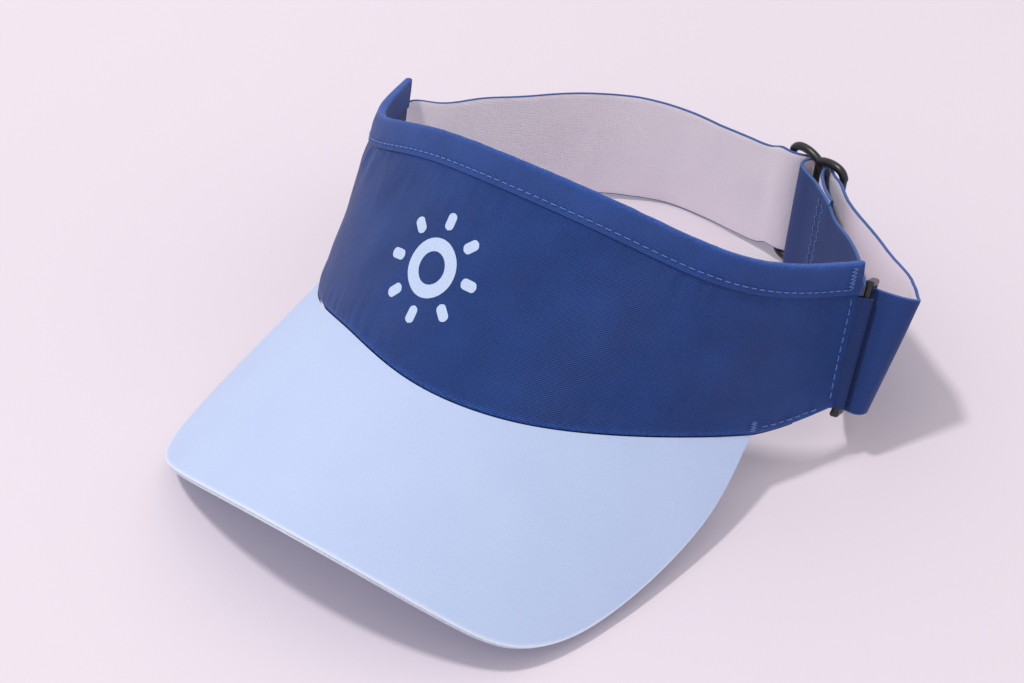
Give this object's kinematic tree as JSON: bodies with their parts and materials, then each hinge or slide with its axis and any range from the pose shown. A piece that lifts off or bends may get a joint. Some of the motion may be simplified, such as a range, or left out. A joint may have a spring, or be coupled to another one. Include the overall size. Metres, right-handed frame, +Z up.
{
  "type": "sun visor",
  "caption": "Open-topped sun visor with a stiff padded crown band, a curved brim and an elastic back strap adjusted by a three-bar slider and a ring.",
  "frame": {"origin": "middle of the footprint, on the surface it stands on", "axes": "-Y to the front (the brim), +X to the wearer's left (the adjuster side), +Z up"},
  "size_m": [0.2, 0.2428, 0.096],
  "materials": {
    "navy_twill": "satin",
    "navy_binding": "satin",
    "stiffener": "matte",
    "lining_cloth": "matte",
    "sweatband_cloth": "matte",
    "light_blue_cover": "matte",
    "brim_board": "matte",
    "elastic_webbing": "matte",
    "blue_thread": "satin",
    "pale_print": "satin",
    "black_plastic": "satin"
  },
  "bodies": {
    "root": {"crown_outer_panel": "navy_twill", "crown_stiffener": "stiffener", "crown_lining": "lining_cloth", "sweatband": "sweatband_cloth", "top_binding": "navy_binding", "emblem_film": "pale_print", "brim_top_cover": "light_blue_cover", "brim_core": "brim_board", "brim_under_cover": "light_blue_cover", "ring_tab": "navy_binding", "back_strap": "elastic_webbing", "strap_outer_leg": "elastic_webbing", "strap_inner_leg": "elastic_webbing", "binding_topstitch": "blue_thread", "hem_stitches": "blue_thread", "end_stitches": "blue_thread", "bartacks": "blue_thread"},
    "ring": {"ring": "black_plastic"},
    "slider": {"slider": "black_plastic", "strap_threaded": "elastic_webbing", "strap_end_loop": "elastic_webbing", "loop_stitches": "blue_thread"}
  },
  "joints": [
    {"name": "ring_hinge", "type": "hinge", "parent": "root", "child": "ring", "pos_m": [0.08682, 0.04023, 0.03414], "axis": [0.0776, -0.5026, -0.861], "range_deg": [0, 20], "deforming": ["strap_outer_leg", "strap_inner_leg"]},
    {"name": "slider_slide", "type": "slide", "parent": "root", "child": "slider", "axis": [0.7996, -0.5997, 0.03], "range_m": [0, 0.025], "deforming": ["back_strap", "strap_outer_leg", "strap_inner_leg"]}
  ]
}
